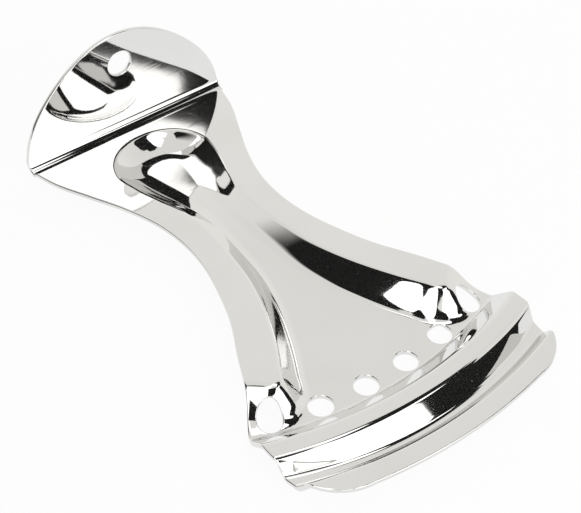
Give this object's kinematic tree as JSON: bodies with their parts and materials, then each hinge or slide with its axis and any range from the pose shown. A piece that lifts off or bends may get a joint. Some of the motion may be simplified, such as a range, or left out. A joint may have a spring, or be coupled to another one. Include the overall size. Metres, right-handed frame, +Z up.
{
  "type": "guitar tailpiece",
  "caption": "Pressed and plated sheet tailpiece for a guitar: waisted plate with a sunk panel, string holes, bowed ridge and lip, and an upturned end flap with a pin hole.",
  "frame": {"origin": "Centre of the part's box at the surface that it lies on, flap up.", "axes": "+X from the flap's crease to the front lip, +Y across the plate, +Z up. The face that shows from above is the one that faces the guitar in use."},
  "size_m": [0.1206, 0.0658, 0.0295],
  "materials": {
    "chrome": "bright polished nickel-chrome plate over pressed steel sheet"
  },
  "bodies": {
    "root": {"tailpiece_plate": "chrome"}
  },
  "joints": []
}
